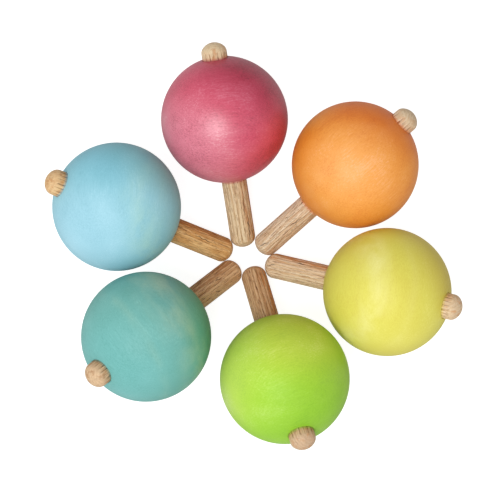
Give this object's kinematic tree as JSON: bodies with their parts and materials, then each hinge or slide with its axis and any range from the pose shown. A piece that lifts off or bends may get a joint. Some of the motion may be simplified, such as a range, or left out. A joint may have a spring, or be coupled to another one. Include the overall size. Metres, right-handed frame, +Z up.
{
  "type": "baby rattle set",
  "caption": "Wooden ball rattles in different stains, each a hollow ball glued on a fluted beech dowel with domed ends and loose beads inside, laid in a ring.",
  "frame": {"origin": "on the table, under the middle of the whole set", "axes": "+Z up from the table, +X to the right and +Y away from a person who looks down on the ring with the crimson rattle at its far side"},
  "size_m": [0.1921, 0.1905, 0.06],
  "materials": {
    "crimson_stain": "satin",
    "orange_stain": "satin",
    "yellow_stain": "satin",
    "green_stain": "satin",
    "teal_stain": "satin",
    "blue_stain": "satin",
    "beech": "satin",
    "bead_wood": "satin"
  },
  "bodies": {
    "crimson_rattle": {"crimson_upper_shell": "crimson_stain", "crimson_lower_shell": "crimson_stain", "crimson_dowel": "beech"},
    "orange_rattle": {"orange_upper_shell": "orange_stain", "orange_lower_shell": "orange_stain", "orange_dowel": "beech"},
    "yellow_rattle": {"yellow_upper_shell": "yellow_stain", "yellow_lower_shell": "yellow_stain", "yellow_dowel": "beech"},
    "green_rattle": {"green_upper_shell": "green_stain", "green_lower_shell": "green_stain", "green_dowel": "beech"},
    "teal_rattle": {"teal_upper_shell": "teal_stain", "teal_lower_shell": "teal_stain", "teal_dowel": "beech"},
    "blue_rattle": {"blue_upper_shell": "blue_stain", "blue_lower_shell": "blue_stain", "blue_dowel": "beech"},
    "crimson_bead_1": {"crimson_bead_1": "bead_wood"},
    "crimson_bead_2": {"crimson_bead_2": "bead_wood"},
    "crimson_bead_3": {"crimson_bead_3": "bead_wood"},
    "crimson_bead_4": {"crimson_bead_4": "bead_wood"},
    "crimson_bead_5": {"crimson_bead_5": "bead_wood"},
    "orange_bead_1": {"orange_bead_1": "bead_wood"},
    "orange_bead_2": {"orange_bead_2": "bead_wood"},
    "orange_bead_3": {"orange_bead_3": "bead_wood"},
    "orange_bead_4": {"orange_bead_4": "bead_wood"},
    "orange_bead_5": {"orange_bead_5": "bead_wood"},
    "yellow_bead_1": {"yellow_bead_1": "bead_wood"},
    "yellow_bead_2": {"yellow_bead_2": "bead_wood"},
    "yellow_bead_3": {"yellow_bead_3": "bead_wood"},
    "yellow_bead_4": {"yellow_bead_4": "bead_wood"},
    "yellow_bead_5": {"yellow_bead_5": "bead_wood"},
    "green_bead_1": {"green_bead_1": "bead_wood"},
    "green_bead_2": {"green_bead_2": "bead_wood"},
    "green_bead_3": {"green_bead_3": "bead_wood"},
    "green_bead_4": {"green_bead_4": "bead_wood"},
    "green_bead_5": {"green_bead_5": "bead_wood"},
    "teal_bead_1": {"teal_bead_1": "bead_wood"},
    "teal_bead_2": {"teal_bead_2": "bead_wood"},
    "teal_bead_3": {"teal_bead_3": "bead_wood"},
    "teal_bead_4": {"teal_bead_4": "bead_wood"},
    "teal_bead_5": {"teal_bead_5": "bead_wood"},
    "blue_bead_1": {"blue_bead_1": "bead_wood"},
    "blue_bead_2": {"blue_bead_2": "bead_wood"},
    "blue_bead_3": {"blue_bead_3": "bead_wood"},
    "blue_bead_4": {"blue_bead_4": "bead_wood"},
    "blue_bead_5": {"blue_bead_5": "bead_wood"}
  },
  "joints": [
    {"name": "orange_lift", "type": "slide", "parent": "crimson_rattle", "child": "orange_rattle", "axis": [0, 0, 1], "range_m": [0, 0.12]},
    {"name": "yellow_lift", "type": "slide", "parent": "crimson_rattle", "child": "yellow_rattle", "axis": [0, 0, 1], "range_m": [0, 0.12]},
    {"name": "green_lift", "type": "slide", "parent": "crimson_rattle", "child": "green_rattle", "axis": [0, 0, 1], "range_m": [0, 0.12]},
    {"name": "teal_lift", "type": "slide", "parent": "crimson_rattle", "child": "teal_rattle", "axis": [0, 0, 1], "range_m": [0, 0.12]},
    {"name": "blue_lift", "type": "slide", "parent": "crimson_rattle", "child": "blue_rattle", "axis": [0, 0, 1], "range_m": [0, 0.12]},
    {"name": "crimson_bead_1_roll", "type": "hinge", "parent": "crimson_rattle", "child": "crimson_bead_1", "pos_m": [-0.01231, 0.06143, 0.03], "axis": [-0.1657, 0.8943, 0.4156], "continuous": true},
    {"name": "crimson_bead_2_roll", "type": "hinge", "parent": "crimson_rattle", "child": "crimson_bead_2", "pos_m": [-0.01231, 0.06143, 0.03], "axis": [-0.1657, 0.8943, 0.4156], "continuous": true},
    {"name": "crimson_bead_3_roll", "type": "hinge", "parent": "crimson_rattle", "child": "crimson_bead_3", "pos_m": [-0.01231, 0.06143, 0.03], "axis": [-0.1657, 0.8943, 0.4156], "continuous": true},
    {"name": "crimson_bead_4_roll", "type": "hinge", "parent": "crimson_rattle", "child": "crimson_bead_4", "pos_m": [-0.01231, 0.06143, 0.03], "axis": [-0.1657, 0.8943, 0.4156], "continuous": true},
    {"name": "crimson_bead_5_roll", "type": "hinge", "parent": "crimson_rattle", "child": "crimson_bead_5", "pos_m": [-0.01231, 0.06143, 0.03], "axis": [-0.1657, 0.8943, 0.4156], "continuous": true},
    {"name": "orange_bead_1_roll", "type": "hinge", "parent": "orange_rattle", "child": "orange_bead_1", "pos_m": [0.04935, 0.03959, 0.03], "axis": [0.7018, 0.5785, 0.4156], "continuous": true},
    {"name": "orange_bead_2_roll", "type": "hinge", "parent": "orange_rattle", "child": "orange_bead_2", "pos_m": [0.04935, 0.03959, 0.03], "axis": [0.7018, 0.5785, 0.4156], "continuous": true},
    {"name": "orange_bead_3_roll", "type": "hinge", "parent": "orange_rattle", "child": "orange_bead_3", "pos_m": [0.04935, 0.03959, 0.03], "axis": [0.7018, 0.5785, 0.4156], "continuous": true},
    {"name": "orange_bead_4_roll", "type": "hinge", "parent": "orange_rattle", "child": "orange_bead_4", "pos_m": [0.04935, 0.03959, 0.03], "axis": [0.7018, 0.5785, 0.4156], "continuous": true},
    {"name": "orange_bead_5_roll", "type": "hinge", "parent": "orange_rattle", "child": "orange_bead_5", "pos_m": [0.04935, 0.03959, 0.03], "axis": [0.7018, 0.5785, 0.4156], "continuous": true},
    {"name": "yellow_bead_1_roll", "type": "hinge", "parent": "yellow_rattle", "child": "yellow_bead_1", "pos_m": [0.06312, -0.02119, 0.03], "axis": [0.865, -0.2811, 0.4156], "continuous": true},
    {"name": "yellow_bead_2_roll", "type": "hinge", "parent": "yellow_rattle", "child": "yellow_bead_2", "pos_m": [0.06312, -0.02119, 0.03], "axis": [0.865, -0.2811, 0.4156], "continuous": true},
    {"name": "yellow_bead_3_roll", "type": "hinge", "parent": "yellow_rattle", "child": "yellow_bead_3", "pos_m": [0.06312, -0.02119, 0.03], "axis": [0.865, -0.2811, 0.4156], "continuous": true},
    {"name": "yellow_bead_4_roll", "type": "hinge", "parent": "yellow_rattle", "child": "yellow_bead_4", "pos_m": [0.06312, -0.02119, 0.03], "axis": [0.865, -0.2811, 0.4156], "continuous": true},
    {"name": "yellow_bead_5_roll", "type": "hinge", "parent": "yellow_rattle", "child": "yellow_bead_5", "pos_m": [0.06312, -0.02119, 0.03], "axis": [0.865, -0.2811, 0.4156], "continuous": true},
    {"name": "green_bead_1_roll", "type": "hinge", "parent": "green_rattle", "child": "green_bead_1", "pos_m": [0.01441, -0.0617, 0.03], "axis": [0.2046, -0.8862, 0.4156], "continuous": true},
    {"name": "green_bead_2_roll", "type": "hinge", "parent": "green_rattle", "child": "green_bead_2", "pos_m": [0.01441, -0.0617, 0.03], "axis": [0.2046, -0.8862, 0.4156], "continuous": true},
    {"name": "green_bead_3_roll", "type": "hinge", "parent": "green_rattle", "child": "green_bead_3", "pos_m": [0.01441, -0.0617, 0.03], "axis": [0.2046, -0.8862, 0.4156], "continuous": true},
    {"name": "green_bead_4_roll", "type": "hinge", "parent": "green_rattle", "child": "green_bead_4", "pos_m": [0.01441, -0.0617, 0.03], "axis": [0.2046, -0.8862, 0.4156], "continuous": true},
    {"name": "green_bead_5_roll", "type": "hinge", "parent": "green_rattle", "child": "green_bead_5", "pos_m": [0.01441, -0.0617, 0.03], "axis": [0.2046, -0.8862, 0.4156], "continuous": true},
    {"name": "teal_bead_1_roll", "type": "hinge", "parent": "teal_rattle", "child": "teal_bead_1", "pos_m": [-0.04942, -0.04183, 0.03], "axis": [-0.6967, -0.5846, 0.4156], "continuous": true},
    {"name": "teal_bead_2_roll", "type": "hinge", "parent": "teal_rattle", "child": "teal_bead_2", "pos_m": [-0.04942, -0.04183, 0.03], "axis": [-0.6967, -0.5846, 0.4156], "continuous": true},
    {"name": "teal_bead_3_roll", "type": "hinge", "parent": "teal_rattle", "child": "teal_bead_3", "pos_m": [-0.04942, -0.04183, 0.03], "axis": [-0.6967, -0.5846, 0.4156], "continuous": true},
    {"name": "teal_bead_4_roll", "type": "hinge", "parent": "teal_rattle", "child": "teal_bead_4", "pos_m": [-0.04942, -0.04183, 0.03], "axis": [-0.6967, -0.5846, 0.4156], "continuous": true},
    {"name": "teal_bead_5_roll", "type": "hinge", "parent": "teal_rattle", "child": "teal_bead_5", "pos_m": [-0.04942, -0.04183, 0.03], "axis": [-0.6967, -0.5846, 0.4156], "continuous": true},
    {"name": "blue_bead_1_roll", "type": "hinge", "parent": "blue_rattle", "child": "blue_bead_1", "pos_m": [-0.06307, 0.0192, 0.03], "axis": [-0.8674, 0.2735, 0.4156], "continuous": true},
    {"name": "blue_bead_2_roll", "type": "hinge", "parent": "blue_rattle", "child": "blue_bead_2", "pos_m": [-0.06307, 0.0192, 0.03], "axis": [-0.8674, 0.2735, 0.4156], "continuous": true},
    {"name": "blue_bead_3_roll", "type": "hinge", "parent": "blue_rattle", "child": "blue_bead_3", "pos_m": [-0.06307, 0.0192, 0.03], "axis": [-0.8674, 0.2735, 0.4156], "continuous": true},
    {"name": "blue_bead_4_roll", "type": "hinge", "parent": "blue_rattle", "child": "blue_bead_4", "pos_m": [-0.06307, 0.0192, 0.03], "axis": [-0.8674, 0.2735, 0.4156], "continuous": true},
    {"name": "blue_bead_5_roll", "type": "hinge", "parent": "blue_rattle", "child": "blue_bead_5", "pos_m": [-0.06307, 0.0192, 0.03], "axis": [-0.8674, 0.2735, 0.4156], "continuous": true}
  ]
}
